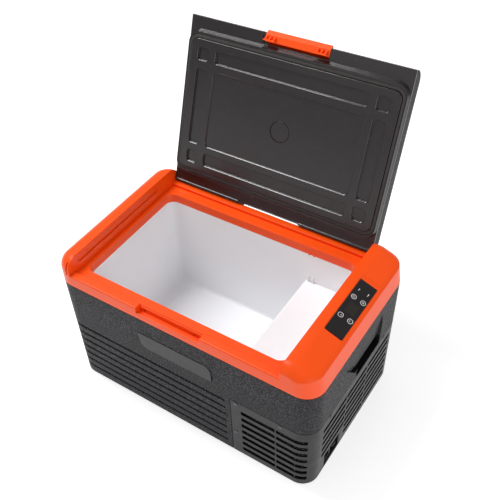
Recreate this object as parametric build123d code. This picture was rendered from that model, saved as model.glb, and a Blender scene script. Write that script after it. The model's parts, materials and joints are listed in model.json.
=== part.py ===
"""Portable 30 litre compressor cooler: moulded cabinet, insulated tub, hinged lid and cooling unit.

Millimetres. +X is the control-panel side, +Y the hinge side, +Z up. The origin is the centre of the
base on the ground. Everything is written in the pose with the lid standing open at its stop.
"""
from build123d import *
from math import atan2, cos, degrees, hypot, radians, sin, tan
import os

os.makedirs("parts", exist_ok=True)

# ---------------------------------------------------------------- driving dimensions
WIDTH = 584.0              # cabinet along X, measured at the collar
DEPTH = 366.0              # cabinet along Y, measured at the collar
HEIGHT = 338.0             # ground to the top of the rails and of the closed lid
CORNER_R = 39.0            # vertical corner radius at the collar
TOP_R = 27.0               # rounding of the top outer edges
FOOT_H = 3.0               # ground clearance under the cabinet
SHELL_TOP = 280.0          # joint line between dark shell and coloured collar
SHELL_DRAW = 4.1           # how far each wall leans in from the joint line to the bottom
SHELL_WALL = 5.5
COVER_WALL = 3.5
FLOOR_Z = 6.0              # top of the base pan

LEDGE_Z = 306.5            # ledge under the lid rim
LAND_Z = 301.0             # seal land around the opening
LAND_FRONT, LAND_BACK = -167.0, 158.0
STEP_GROOVE = 1.5          # width and depth of the groove along the foot of the land's step
LEDGE_BACK = 172.3         # rear end of the ledge, where the stop bevel starts
BEVEL_SLOPE = 1.2          # fall of the stop bevel, height over depth
RAIL_X = -250.6            # inner foot of the left rail
RAIL_LEAN = 2.9            # how far the rail's inner wall leans out at its top
CONSOLE_X = 223.0          # inner wall of the console
CONSOLE_BREAK_X = 239.8    # where the console top starts to slope down
CONSOLE_SLOPE = 0.3836
CONSOLE_LEAN = 9.0         # how far the console's side wall leans in over the collar's height
CONSOLE_GROW = 2.5         # the domed top is rounded as if the walls stood this much further out
CONSOLE_TOP_R = 26.0       # rounding of the domed top
CONSOLE_CREST_R = 45.0     # rounding where the console starts to slope
EDGE_R = 1.5               # small rounding on the collar's edges
LEDGE_R = 3.0              # rounding of the ledge's front edge

OPEN_X0, OPEN_X1 = -240.0, 212.0
OPEN_Y0, OPEN_Y1 = -145.0, 134.5
OPEN_R = 20.0
TUB_FLOOR = 44.0
TUB_DRAFT = 1.3            # degrees
TUB_FLOOR_R = 9.0          # rounding where the tub's walls meet its floor
STEP_R = 6.0               # rounding of the step's upper edge
TUB_WALL = 2.0
STEP_X, STEP_Z = 100.0, 208.0

BAY_X = 117.0              # inner wall of the machine bay
BAY_TOP = 164.0
COVER_X = 116.0            # front and rear edges of the machine-bay cover
COVER_TOP = 173.0
SEAM = 1.5

HINGE_Y, HINGE_Z = 172.0, 311.4
OPEN_ANGLE = 108.0         # lid travel from closed to its stop
LID_X0, LID_X1 = -249.6, 221.8
LID_MID = (LID_X0 + LID_X1) / 2
RIM_Z = 309.5              # underside of the closed lid's rim
HINGE_PIN_R = 2.5
BARREL_R = 4.5
STOP_GAP = 0.4
NOTCH_X0, NOTCH_X1 = -77.0, 59.0   # middle stretch of the lid's rear edge that stands clear
NOTCH_LIFT = 5.6

LATCH_X0, LATCH_X1 = -85.5, 57.5   # cut-out in the lid rim for the latch
LATCH_Y, LATCH_Z = -155.0, 331.0   # latch pivot
LATCH_BARREL_R = 7.0
LATCH_PIN_R = 1.5
SIDE_GAP = 0.7
LATCH_INSET = 6.5          # free space at the paddle's left end
RECESS_WALL_Y, RECESS_LIP_Y = -169.5, -180.0   # finger pocket under the latch
RECESS_FLOOR_Z, RECESS_LIP_Z = 290.0, 294.5
TONGUE_W, TONGUE_Y0, TONGUE_Y1, TONGUE_Z = 24.0, -172.6, -170.3, 298.5   # latch tongues, lid closed

GROOVE_PITCH, GROOVE_TOP_Z, GROOVE_COUNT = 22.0, 158.0, 7
GROOVE_END_X = 105.0
SLOT_PITCH, SLOT_TOP_Z, SLOT_COUNT = 20.1, 144.0, 7
SLOT_H = 10.5
SHORT_ROWS = 5             # rows above the socket pocket run the full depth of the side
MID_RIB_X, RIB_T, RIB_SET_BACK = 214.6, 2.4, 1.4

PANEL_X, PANEL_Y = 261.4, 2.6      # centre of the control panel
PANEL_L, PANEL_W = 36.2, 140.0     # down the slope, along the console
KEY_D = 12.0

HANDLE_DEPTH = 34.0        # how far the grip housings reach into the wall
HANDLE_SCOOP = 8.0         # depth of the scooped face at its lower edge
HANDLE_EDGE_Z = 193.0      # lower edge of the scooped face

FAN_X, FAN_Y, FAN_Z = 201.0, -112.0, 82.0
FAN_SIZE = 120.0


# ---------------------------------------------------------------- helpers
def block(x0, x1, y0, y1, z0, z1):
    """A box between two corners."""
    return Pos((x0 + x1) / 2, (y0 + y1) / 2, (z0 + z1) / 2) * Box(x1 - x0, y1 - y0, z1 - z0)


def rod(start, end, radius):
    """A round bar between two points."""
    direction = Vector(*end) - Vector(*start)
    plane = Plane(origin=start, z_dir=direction)
    return extrude(plane * Circle(radius), amount=direction.length)


def prism(x0, x1, y0, y1, radius, z0, z1, taper=0.0):
    """A rounded rectangle raised from z0 to z1; taper in degrees narrows it upwards."""
    outline = RectangleRounded(x1 - x0, y1 - y0, radius)
    return extrude(Pos((x0 + x1) / 2, (y0 + y1) / 2, z0) * outline, amount=z1 - z0, taper=taper)


def profile_yz(points, x0, x1):
    """A closed outline in the YZ plane, extruded from x0 to x1."""
    plane = Plane(origin=(x0, 0, 0), x_dir=(0, 1, 0), z_dir=(1, 0, 0))
    return extrude(plane * make_face(Polyline(*points, close=True)), amount=x1 - x0)


def profile_xz(points, y0, y1):
    """A closed outline in the XZ plane, extruded from y0 to y1."""
    plane = Plane(origin=(0, y1, 0), x_dir=(1, 0, 0), z_dir=(0, -1, 0))
    return extrude(plane * make_face(Polyline(*points, close=True)), amount=y1 - y0)


def edge_round_x(x0, x1, y, z, radius, side=1):
    """Cutter that rounds an upper edge along X; side is the direction of the solid from y."""
    inner = y + side * radius
    y0, y1 = sorted((y - side * 1.0, inner))
    corner = block(x0, x1, y0, y1, z - radius, z + 1.0)
    return corner - rod((x0, inner, z - radius), (x1, inner, z - radius), radius)


def edge_round_y(y0, y1, x, z, radius, side=1):
    """Cutter that rounds an upper edge along Y; side is the direction of the solid from x."""
    inner = x + side * radius
    x0, x1 = sorted((x - side * 1.0, inner))
    corner = block(x0, x1, y0, y1, z - radius, z + 1.0)
    return corner - rod((inner, y0, z - radius), (inner, y1, z - radius), radius)


def tube_path(points, bend, radius):
    """A round tube along straight runs with one bend radius."""
    path = FilletPolyline(*points, radius=bend)
    start = Plane(origin=path @ 0, z_dir=path % 0)
    return sweep(start * Circle(radius), path=path)


def wall_offset(z):
    """How far the shell's outer wall stands inside the collar at height z."""
    return SHELL_DRAW * (SHELL_TOP - z) / (SHELL_TOP - FOOT_H)


def cabinet_form(inset, z0, z1):
    """The tapered cabinet block, inset evenly from its outer skin, between two heights."""
    angle = degrees(atan2(SHELL_DRAW, SHELL_TOP - FOOT_H))
    half_x = WIDTH / 2 - inset - wall_offset(z0)
    half_y = DEPTH / 2 - inset - wall_offset(z0)
    radius = CORNER_R - inset - wall_offset(z0)
    return prism(-half_x, half_x, -half_y, half_y, radius, z0, z1, taper=-angle)


def slot_heights(first, pitch, count):
    return [first - pitch * k for k in range(count)]


def open_lid(part):
    """Turn a part drawn with the lid closed into the open rest pose."""
    axis = Axis((0, HINGE_Y, HINGE_Z), (1, 0, 0))
    return part.rotate(axis, -OPEN_ANGLE)


def joined(parts):
    """Fuse a list of overlapping parts into one."""
    result = parts[0]
    for part in parts[1:]:
        result = result + part
    return result


# ---------------------------------------------------------------- common top form
def bevel_height(y, lift=0.0):
    """Height of the stop bevel behind the ledge."""
    return LEDGE_Z + lift - BEVEL_SLOPE * (y - LEDGE_BACK)


def top_form():
    """Collar and closed lid as one rounded block."""
    half_x, half_y = WIDTH / 2, DEPTH / 2
    form = prism(-half_x, half_x, -half_y, half_y, CORNER_R, SHELL_TOP, HEIGHT)
    return fillet(form.faces().sort_by(Axis.Z)[-1].edges(), TOP_R)


def console_form():
    """Console end of the collar: upright band, leaning on its outer side, under a domed sloping top."""
    half_x, half_y = WIDTH / 2, DEPTH / 2
    base = Pos(0, 0, SHELL_TOP) * RectangleRounded(WIDTH, DEPTH, CORNER_R)
    high = Pos(-CONSOLE_LEAN / 2, 0, HEIGHT + 2) * RectangleRounded(WIDTH - CONSOLE_LEAN, DEPTH, CORNER_R)
    walls = loft([base, high], ruled=True)
    out_x, out_y = half_x + CONSOLE_GROW, half_y + CONSOLE_GROW
    dome = prism(-out_x, out_x, -out_y, out_y, CORNER_R + CONSOLE_GROW, SHELL_TOP - 5, HEIGHT)
    dome = dome & block(0, WIDTH, -DEPTH, DEPTH, 0, HEIGHT + 5)
    drop = CONSOLE_SLOPE * (WIDTH - CONSOLE_BREAK_X)
    above = HEIGHT + 5
    slope = [(CONSOLE_BREAK_X, HEIGHT), (WIDTH, HEIGHT - drop), (WIDTH, above), (CONSOLE_BREAK_X, above)]
    dome = dome - profile_xz(slope, -DEPTH, DEPTH)
    crest = [e for e in dome.edges().filter_by(Axis.Y) if abs(e.center().X - CONSOLE_BREAK_X) < 0.1]
    dome = fillet(crest, CONSOLE_CREST_R)
    rim = [e for e in dome.edges() if is_dome_rim(e, out_x, out_y)]
    dome = fillet(rim, CONSOLE_TOP_R)
    return walls & dome


def is_dome_rim(edge, out_x, out_y):
    """True for the outer edges of the dome's upper faces."""
    box = edge.bounding_box()
    upper = box.min.Z > SHELL_TOP + 10
    on_side = box.min.X > out_x - 0.1
    on_end = abs(edge.center().Y) > out_y - CORNER_R and (box.max.X - box.min.X) > 1.0
    return upper and (on_side or on_end)


FORM = top_form()
CONSOLE = console_form()


# ---------------------------------------------------------------- cabinet
def handle_outline():
    """Grip recess outline on a side wall, as (y, z) points."""
    return [(-76, 256), (-70, 261), (79, 261), (93, 212), (88, 168), (-16, 168), (-24, 196)]


def handle_block(side, x_in, x_out, grow=0.0):
    """The grip outline extruded along X between two distances from the middle."""
    face = make_face(Polyline(*handle_outline(), close=True))
    if grow:
        face = offset(face, amount=grow)
    plane = Plane(origin=(x_in, 0, 0), x_dir=(0, 1, 0), z_dir=(1, 0, 0))
    solid = extrude(plane * face, amount=x_out - x_in)
    return solid if side > 0 else solid.mirror(Plane.YZ)


def groove_cutter(z):
    """A V groove all round the cabinet at height z."""
    reach, half_h, depth = 20.0, 3.7, 3.6
    half_x = WIDTH / 2 - wall_offset(z) - depth
    half_y = DEPTH / 2 - wall_offset(z) - depth
    radius = CORNER_R - wall_offset(z) - depth
    core = prism(-half_x, half_x, -half_y, half_y, radius, z, z + half_h, taper=-42)
    lower = core.mirror(Plane(origin=(0, 0, z), z_dir=(0, 0, 1)))
    outer = block(-half_x - reach, GROOVE_END_X, -half_y - reach, half_y + reach, z - half_h, z + half_h)
    return outer - core - lower


def cover_region(gap, top_gap):
    """Block that the machine-bay cover occupies, shrunk by a seam gap."""
    far = WIDTH
    return block(COVER_X + gap, far, -far, far, FOOT_H - 1, COVER_TOP - top_gap)


def outer_shell():
    shell = cabinet_form(0, FOOT_H, SHELL_TOP) - cabinet_form(SHELL_WALL, FOOT_H - 1, SHELL_TOP + 1)
    low = SHELL_TOP - 1.4
    reveal = cabinet_form(-5, low, SHELL_TOP + 1) - cabinet_form(1.4, low, SHELL_TOP + 1)
    shell = shell - reveal
    for z in slot_heights(GROOVE_TOP_Z, GROOVE_PITCH, GROOVE_COUNT):
        shell = shell - groove_cutter(z)
    shell = shell - cover_region(0, 0)
    shell = shell - block(-84, 79, -DEPTH / 2 - 5, -DEPTH / 2 + 4.2, 197.4, 200.4)
    for side in (1, -1):
        shell = shell - handle_block(side, WIDTH / 2 - 20, WIDTH / 2 + 20, grow=0.2)
    return shell


def louvre_blade(length):
    """One inward-leaning blade, lying along X."""
    return Rot(X=-38) * Box(length, 10.0, 1.4)


def louvre_slots(wall_x, wall_y):
    """Slot boxes through the cover: front, rear and side, row by row."""
    slots = []
    for row, z in enumerate(slot_heights(SLOT_TOP_Z, SLOT_PITCH, SLOT_COUNT)):
        lo, hi = z - SLOT_H / 2, z + SLOT_H / 2
        slots.append(block(140, 277, -wall_y - 5, -wall_y + 22, lo, hi))
        slots.append(block(140, 277, wall_y - 22, wall_y + 5, lo, hi))
        y0 = -137 if row < SHORT_ROWS else -42
        slots.append(block(wall_x - 12, wall_x + 5, y0, 139, lo, hi))
    return slots


def louvre_blades(wall_x, wall_y):
    """Leaning blades behind the slots and the upright ribs that carry them."""
    blades = []
    for row, z in enumerate(slot_heights(SLOT_TOP_Z, SLOT_PITCH, SLOT_COUNT)):
        inner = wall_y - wall_offset(z) - COVER_WALL - 3.2
        blade = Pos(196.0, -inner, z - 1.5) * louvre_blade(118.0)
        blades += [blade, blade.mirror(Plane.XZ)]
        y0, y1 = (-140, 142) if row < SHORT_ROWS else (-48, 142)
        side_x = wall_x - wall_offset(z) - COVER_WALL - 3.2
        blades.append(Pos(side_x, (y0 + y1) / 2, z - 1.5) * (Rot(Z=90) * louvre_blade(y1 - y0)))
    for x, set_back in ((137.0, 5.2), (MID_RIB_X, RIB_SET_BACK), (255.0, 5.2)):
        rib = block(x - RIB_T / 2, x + RIB_T / 2, -wall_y + set_back, -wall_y + 11.0, 12, 152)
        blades += [rib, rib.mirror(Plane.XZ)]
    for y, set_back in ((-139.5, 5.0), (-44.5, RIB_SET_BACK), (41.5, RIB_SET_BACK), (141.0, 5.0)):
        foot = 12 if y > -100 else 54
        blades.append(block(wall_x - 14.0, wall_x - set_back, y - RIB_T / 2, y + RIB_T / 2, foot, 152))
    return blades


def socket_pocket(grow=0.0):
    """Recess for the power sockets in the side of the cover."""
    return block(WIDTH / 2 - 15.1 - grow, WIDTH / 2 + 5, -122 - grow, -62 + grow, 9 - grow, 46 + grow)


def machine_bay_cover():
    """Wrap-round cover with louvres at front, side and rear."""
    cover = cabinet_form(0, FOOT_H, COVER_TOP) - cabinet_form(COVER_WALL, FOOT_H - 1, COVER_TOP + 1)
    cover = cover & cover_region(SEAM, SEAM)
    for slot in louvre_slots(WIDTH / 2, DEPTH / 2):
        cover = cover - slot
    cover = joined([cover] + louvre_blades(WIDTH / 2, DEPTH / 2))
    cover = cover & cabinet_form(0, FOOT_H, COVER_TOP)
    cover = cover - socket_pocket(grow=2.6)
    for start, end in cover_screw_axes():
        seat = Vector(*start) + (Vector(*end) - Vector(*start)).normalized() * 2.05
        cover = cover - rod(start, end, 1.6) - rod(start, tuple(seat), 3.5)
    return cover - handle_block(1, WIDTH / 2 - 40, WIDTH / 2 + 20, grow=0.3)


def cover_screw_axes():
    """Start (outside) and end points of the cover screws."""
    wall_y = DEPTH / 2 - wall_offset(166)
    wall_x = WIDTH / 2 - wall_offset(163)
    axes = []
    for sign in (-1, 1):
        for x, z in ((129, 165), (225, 165), (126, 70)):
            y = sign * (wall_y - wall_offset(z) + wall_offset(166))
            axes.append(((x, y + sign * 2, z), (x, y - sign * 9, z)))
    for y in (-111, 111):
        axes.append(((wall_x + 2, y, 163), (wall_x - 9, y, 163)))
    return axes


def cover_screws():
    """Countersunk pan heads, one solid each."""
    screws = []
    for start, end in cover_screw_axes():
        axis = (Vector(*end) - Vector(*start)).normalized()
        face = Vector(*start) + axis * 2.0
        head = rod((face - axis * 0.9), face, 3.4)
        shank = rod(face, (face + axis * 6.5), 1.6)
        plane = Plane(origin=(face - axis * 0.9), z_dir=axis)
        slot = extrude(plane * (Rectangle(4.2, 0.9) + Rectangle(0.9, 4.2)), amount=0.6)
        screws.append(head + shank - slot)
    return screws


def base_pan():
    pan = cabinet_form(SHELL_WALL + 0.2, FOOT_H, FLOOR_Z)
    for x, y in foot_places():
        pan = pan - Pos(x, y, FOOT_H) * Cylinder(4.0, 30)
    for k in range(9):
        pan = pan - block(132, 262, -60 + 14 * k, -54 + 14 * k, FOOT_H - 1, FLOOR_Z + 1)
    return pan


def foot_places():
    return [(x, y) for x in (-235, 235) for y in (-128, 128)]


def rubber_feet():
    feet = []
    for x, y in foot_places():
        pad = Pos(x, y, FOOT_H / 2) * Cylinder(17, FOOT_H)
        pad = fillet(pad.edges().group_by(Axis.Z)[0], 1.0)
        stem = Pos(x, y, FOOT_H + 1.3) * Cylinder(3.95, 2.8)
        feet.append(pad + stem)
    return feet


def badge_plate():
    """Blank name plate on the front, thicker at its lower edge."""
    left_top, right_top, right_low, left_low = (-90, 236.5), (77, 236.5), (79.5, 200.5), (-85, 200.5)
    outline = make_face(Polyline(left_top, right_top, right_low, left_low, close=True))
    rounded = [v for v in outline.vertices() if abs(v.X - 77) < 0.1 or abs(v.X + 85) < 0.1]
    outline = fillet(rounded, 15)
    plane = Plane(origin=(0, -DEPTH / 2 + 12, 0), x_dir=(1, 0, 0), z_dir=(0, -1, 0))
    slab = extrude(plane * outline, amount=20)
    skin = DEPTH / 2
    wedge = [(-skin + 3, 199), (-skin - 1.3, 199), (-skin + 0.1, 238), (-skin + 3, 238)]
    slab = slab & profile_yz(wedge, -100, 100)
    return slab - cabinet_form(0, 150, SHELL_TOP)


def handle_cup(side):
    """Moulded grip: a scooped face above an open finger well that runs up behind it."""
    outer, depth = WIDTH / 2, HANDLE_DEPTH
    cup = handle_block(1, outer - depth, outer + 4)
    cup = cup & cabinet_form(0, 100, SHELL_TOP)
    scoop = profile_xz([(outer + 6, HANDLE_EDGE_Z), (outer - HANDLE_SCOOP, HANDLE_EDGE_Z),
                        (outer - 1.0, 258), (outer + 6, 258)], -80, 90)
    fade = Plane.XY.offset(HANDLE_EDGE_Z - 5) * make_face(
        Polyline((outer + 6, -78), (outer - HANDLE_SCOOP - 1, -44), (outer - HANDLE_SCOOP - 1, 84),
                 (outer + 6, 90), close=True))
    cup = cup - (scoop & extrude(fade, amount=80))
    edge_z = HANDLE_EDGE_Z
    well = make_face(Polyline((-15, 190), (-12, 171), (85, 171), (87, edge_z), (-9, edge_z), close=True))
    plane = Plane(origin=(outer - depth + 2.5, 0, 0), x_dir=(0, 1, 0), z_dir=(1, 0, 0))
    cup = cup - extrude(plane * well, amount=depth + 5)
    cup = cup - block(outer - depth + 2.5, outer - HANDLE_SCOOP - 6, -9, 85.5, 171, 248)
    return cup if side > 0 else cup.mirror(Plane.YZ)


# ---------------------------------------------------------------- collar
def panel_plane(lift=0.0):
    """Plane of the console slope at the panel centre; local x runs down the slope."""
    length = hypot(1, CONSOLE_SLOPE)
    normal = Vector(CONSOLE_SLOPE / length, 0, 1 / length)
    z = HEIGHT - (PANEL_X - CONSOLE_BREAK_X) * CONSOLE_SLOPE
    origin = Vector(PANEL_X, PANEL_Y, z) + normal * lift
    return Plane(origin=origin, x_dir=(1 / length, 0, -CONSOLE_SLOPE / length), z_dir=normal)


def key_places():
    """Key centres on the panel as (down the slope, along the console)."""
    return {"power": (-9.3, 25.4), "mode": (10.7, 25.4), "down": (-9.3, -25.3), "up": (10.7, -25.3)}


def latch_recess():
    """Finger pocket in the front ledge, with a low front lip and two catch holes in its rear wall."""
    x0, x1 = LATCH_X0 - 0.6, LATCH_X1 + 0.8
    well = block(x0, x1, RECESS_LIP_Y, RECESS_WALL_Y, RECESS_FLOOR_Z, HEIGHT)
    lip = block(x0, x1, -DEPTH / 2 - 5, RECESS_WALL_Y, RECESS_LIP_Z, HEIGHT)
    shelf = block(x0, x1, -DEPTH / 2 - 5, LAND_FRONT, LAND_Z, HEIGHT)
    catches = [block(x, x + 6, RECESS_WALL_Y - 1, RECESS_WALL_Y + 3.2, 292.5, 297.0) for x in (x0 + 9, x1 - 22)]
    return [well, lip, shelf] + catches


def rail_cuts():
    """Trim in the left rail: long shallow panel in its leaning inner wall and a slit at its front end."""
    lean = atan2(RAIL_LEAN, HEIGHT - LEDGE_Z)
    middle = (RAIL_X - RAIL_LEAN / 2, -22, (HEIGHT + LEDGE_Z) / 2 + 3.5)
    wall = Plane(origin=middle, x_dir=(0, 1, 0), z_dir=(cos(lean), 0, sin(lean)))
    panel = extrude(wall.offset(3) * RectangleRounded(262, 17, 8.4), amount=-6.2)
    slit = block(RAIL_X - 9, RAIL_X - 5.5, -DEPTH / 2 - 1, -172.5, LEDGE_Z - 1, 333)
    return [panel, slit]


def collar_block():
    """Collar blank: form with the lid bay, seal land, stop bevel and tub opening cut out."""
    walls = FORM & block(-WIDTH, CONSOLE_X, -DEPTH, DEPTH, 0, HEIGHT + 5)
    collar = walls + (CONSOLE & block(CONSOLE_X - 0.01, WIDTH, -DEPTH, DEPTH, 0, HEIGHT + 5))
    top = HEIGHT + 1
    lid_bay = [(RAIL_X - RAIL_LEAN, top), (RAIL_X, LEDGE_Z), (CONSOLE_X, LEDGE_Z), (CONSOLE_X, top)]
    collar = collar - profile_xz(lid_bay, -DEPTH, DEPTH)
    collar = collar - block(RAIL_X, CONSOLE_X, LAND_FRONT, LAND_BACK, LAND_Z, HEIGHT)
    for y in (LAND_FRONT, LAND_BACK - STEP_GROOVE):
        collar = collar - block(RAIL_X, CONSOLE_X, y, y + STEP_GROOVE, LAND_Z - STEP_GROOVE, HEIGHT)
    behind = [(LEDGE_BACK, LEDGE_Z), (DEPTH / 2 + 10, bevel_height(DEPTH / 2 + 10)),
              (DEPTH / 2 + 10, HEIGHT), (LEDGE_BACK, HEIGHT)]
    collar = collar - profile_yz(behind, RAIL_X - 0.4, CONSOLE_X)
    mouth = prism(OPEN_X0, OPEN_X1, OPEN_Y0, OPEN_Y1, OPEN_R, SHELL_TOP - 1, LAND_Z + 1)
    flare = prism(OPEN_X0, OPEN_X1, OPEN_Y0, OPEN_Y1, OPEN_R, LAND_Z - EDGE_R, LAND_Z + 1, taper=-42)
    return collar - mouth - flare


def collar_rounding():
    """Small roundings along the ledge, the land's step, the rail and the console."""
    return [edge_round_x(RAIL_X, LATCH_X0 - 0.6, -DEPTH / 2, LEDGE_Z, LEDGE_R),
            edge_round_x(LATCH_X1 + 0.8, CONSOLE_X, -DEPTH / 2, LEDGE_Z, LEDGE_R),
            edge_round_x(RAIL_X, CONSOLE_X, LAND_FRONT, LEDGE_Z, 1.0, side=-1),
            edge_round_x(RAIL_X, CONSOLE_X, LAND_BACK, LEDGE_Z, 1.0),
            edge_round_x(LATCH_X0 - 0.6, LATCH_X1 + 0.8, -DEPTH / 2, RECESS_LIP_Z, EDGE_R),
            edge_round_y(-DEPTH / 2, DEPTH / 2, RAIL_X - RAIL_LEAN, HEIGHT, 1.0, side=-1),
            edge_round_y(-DEPTH / 2, DEPTH / 2, CONSOLE_X, HEIGHT, EDGE_R)]


def collar_hollows():
    """Hollow underside of the collar: front, rear, rail and console."""
    low = SHELL_TOP - 1
    return [block(-236, LATCH_X0 - 4, -179, -149.5, low, 297.0),
            block(LATCH_X1 + 5, 208, -179, -149.5, low, 297.0),
            block(LATCH_X0 - 4, LATCH_X1 + 5, -179, -149.5, low, RECESS_FLOOR_Z - 3.0),
            block(-236, 208, 139, 168.5, low, 296.5),
            prism(-287, RAIL_X - RAIL_LEAN - 7.5, -150, 150, 6, low, 318),
            prism(CONSOLE_X + 3, 281.0, -150, 150, 6, low, 304)]


def top_collar():
    collar = collar_block()
    for cutter in latch_recess() + collar_rounding() + collar_hollows() + rail_cuts():
        collar = collar - cutter
    panel = panel_plane()
    surround = Pos(0.6, 4.5, 0) * RectangleRounded(PANEL_L + 5.0, PANEL_W + 12.0, 9)
    collar = collar - extrude(panel_plane(5) * surround, amount=-5.6)
    collar = collar - extrude(panel_plane(5) * Rectangle(PANEL_L + 0.5, PANEL_W + 0.5), amount=-7.4)
    collar = collar - extrude(panel * Rectangle(33.8, 122), amount=-21)
    for x in (105.0, 116.0):
        collar = collar + block(x, x + 3.5, OPEN_Y1 - 2.0, OPEN_Y1 + 1.0, SHELL_TOP, 289)
    for x0, x1 in ((RAIL_X - 12, RAIL_X + 1), (CONSOLE_X - 1, CONSOLE_X + 12)):
        collar = collar - rod((x0, HINGE_Y, HINGE_Z), (x1, HINGE_Y, HINGE_Z), HINGE_PIN_R + 0.02)
    return collar


# ---------------------------------------------------------------- tub and insulation
def tub_block(grow, floor_z, top_z):
    """Tapered tub volume grown outwards by a wall thickness."""
    lean = tan(radians(TUB_DRAFT)) * (top_z - floor_z)
    x0, x1 = OPEN_X0 + lean - grow, OPEN_X1 - lean + grow
    y0, y1 = OPEN_Y0 + lean - grow, OPEN_Y1 - lean + grow
    return prism(x0, x1, y0, y1, OPEN_R - lean + grow, floor_z, top_z, taper=-TUB_DRAFT)


def tub_cavity():
    """Inside of the tub: rounded floor edges, and the step over the machine bay with rounded edges."""
    deep = tub_block(0, TUB_FLOOR, SHELL_TOP)
    deep = fillet(deep.faces().sort_by(Axis.Z)[0].edges(), TUB_FLOOR_R)
    cavity = deep - block(STEP_X, WIDTH, -DEPTH, DEPTH, TUB_FLOOR - 5, STEP_Z)
    brow = [e for e in cavity.edges().filter_by(Axis.Y)
            if abs(e.center().X - STEP_X) < 0.1 and abs(e.center().Z - STEP_Z) < 0.1]
    return fillet(brow, STEP_R)


def inner_liner():
    top = SHELL_TOP
    outer = tub_block(TUB_WALL, TUB_FLOOR - TUB_WALL, top)
    outer = outer - block(STEP_X + TUB_WALL, WIDTH, -DEPTH, DEPTH, TUB_FLOOR - 9, STEP_Z - TUB_WALL)
    lip = prism(OPEN_X0 - 4, OPEN_X1 + 4, OPEN_Y0 - 4, OPEN_Y1 + 4, OPEN_R + 4, top - 2.0, top)
    liner = outer + lip - tub_cavity()
    for x in (106.0, 116.5):
        wall = OPEN_Y1 - 4.6
        liner = liner + block(x, x + 3.0, wall, wall + 3.2, STEP_Z - 1, STEP_Z + 15)
    pad = block(-205, 70, -112, 102, TUB_FLOOR - 1, TUB_FLOOR + 1.0)
    pad = fillet(pad.edges().filter_by(Axis.Z), 18)
    return liner + pad


def liner_envelope():
    """Everything inside the liner's outer skin."""
    body = tub_block(TUB_WALL, TUB_FLOOR - TUB_WALL, SHELL_TOP)
    body = body - block(STEP_X + TUB_WALL, WIDTH, -DEPTH, DEPTH, TUB_FLOOR - 9, STEP_Z - TUB_WALL)
    return body + prism(OPEN_X0 - 4, OPEN_X1 + 4, OPEN_Y0 - 4, OPEN_Y1 + 4, OPEN_R + 4,
                        SHELL_TOP - 2, SHELL_TOP)


COIL_R = 3.0
COIL_LEVELS = (58.0, 92.0, 126.0, 156.0)
COIL_END_X = 84.0


def coil_lines(z):
    """Centre lines of the tube at height z: left x, front y, rear y and bend radius."""
    lean = tan(radians(TUB_DRAFT)) * (SHELL_TOP - z)
    gap = COIL_R + TUB_WALL + 0.4
    return OPEN_X0 + lean - gap, OPEN_Y0 + lean - gap, OPEN_Y1 - lean + gap, OPEN_R - lean + gap


def evaporator_coil():
    """One tube that runs to and fro round three sides of the tub."""
    points, bends = [], []
    for k, z in enumerate(COIL_LEVELS):
        left, front, rear, bend = coil_lines(z)
        level = [(COIL_END_X, front, z), (left, front, z), (left, rear, z), (COIL_END_X, rear, z)]
        points += reversed(level) if k % 2 else level
        bends += [10.0, bend, bend, 10.0]
    return tube_path(points, tuple(bends[1:-1]), COIL_R)


def foam_insulation():
    foam = cabinet_form(SHELL_WALL + 0.1, FLOOR_Z + 0.2, SHELL_TOP - 0.2)
    foam = foam - liner_envelope()
    foam = foam - block(BAY_X - 2, WIDTH, -DEPTH, DEPTH, 0, BAY_TOP + 2)
    foam = foam - block(COVER_X - 2, WIDTH, -DEPTH, DEPTH, 0, COVER_TOP + 1)
    foam = foam - evaporator_coil() - thermostat_probe()
    for side in (1, -1):
        foam = foam - handle_block(side, WIDTH / 2 - 36, WIDTH / 2 + 10, grow=1.0)
    foam = foam - suction_tube(grow=0.6) - liquid_tube(grow=0.6)
    return max(foam.solids(), key=lambda solid: solid.volume)


def thermostat_probe():
    z = 109.0
    lean = tan(radians(TUB_DRAFT)) * (SHELL_TOP - z)
    y = OPEN_Y0 + lean - TUB_WALL - 3.4
    return rod((20, y, z), (60, y, z), 2.5)


# ---------------------------------------------------------------- cooling unit
COMP_X, COMP_Y = 208.0, 62.0
COMP_R = 56.0


def compressor():
    """Hermetic pot with its weld flange, base plate and terminal cap."""
    low = FLOOR_Z + 16
    can = Pos(COMP_X, COMP_Y, low + 52) * Cylinder(COMP_R, 104)
    can = fillet(can.edges().filter_by(GeomType.CIRCLE), 24)
    flange = Pos(COMP_X, COMP_Y, low + 58) * Cylinder(COMP_R + 3, 4)
    plate = block(COMP_X - 66, COMP_X + 66, COMP_Y - 48, COMP_Y + 48, low - 2.0, low + 1.5)
    plate = fillet(plate.edges().filter_by(Axis.Z), 14)
    for x, y in grommet_places():
        plate = plate - Pos(x, y, low) * Cylinder(6.0, 12)
    cap = block(COMP_X - 70, COMP_X - 50, COMP_Y - 20, COMP_Y + 20, low + 28, low + 70)
    cap = fillet(cap.edges().filter_by(Axis.X), 5)
    stubs = [rod((COMP_X + dx, COMP_Y - 40, low + dz), (COMP_X + dx, COMP_Y - 66, low + dz), 3.6)
             for dx, dz in ((-20, 76), (22, 76), (4, 40))]
    return joined([can, flange, plate, cap] + stubs)


def grommet_places():
    return [(COMP_X + dx, COMP_Y + dy) for dx in (-57, 57) for dy in (-38, 38)]


def compressor_grommets():
    parts = []
    for x, y in grommet_places():
        base = Pos(x, y, FLOOR_Z + 7) * Cylinder(9, 14)
        neck = Pos(x, y, FLOOR_Z + 16) * Cylinder(5.95, 4.2)
        cap = Pos(x, y, FLOOR_Z + 19.2) * Cylinder(8, 3.2)
        bore = Pos(x, y, FLOOR_Z + 10) * Cylinder(3.0, 40)
        parts.append(base + neck + cap - bore)
    return parts


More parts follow.
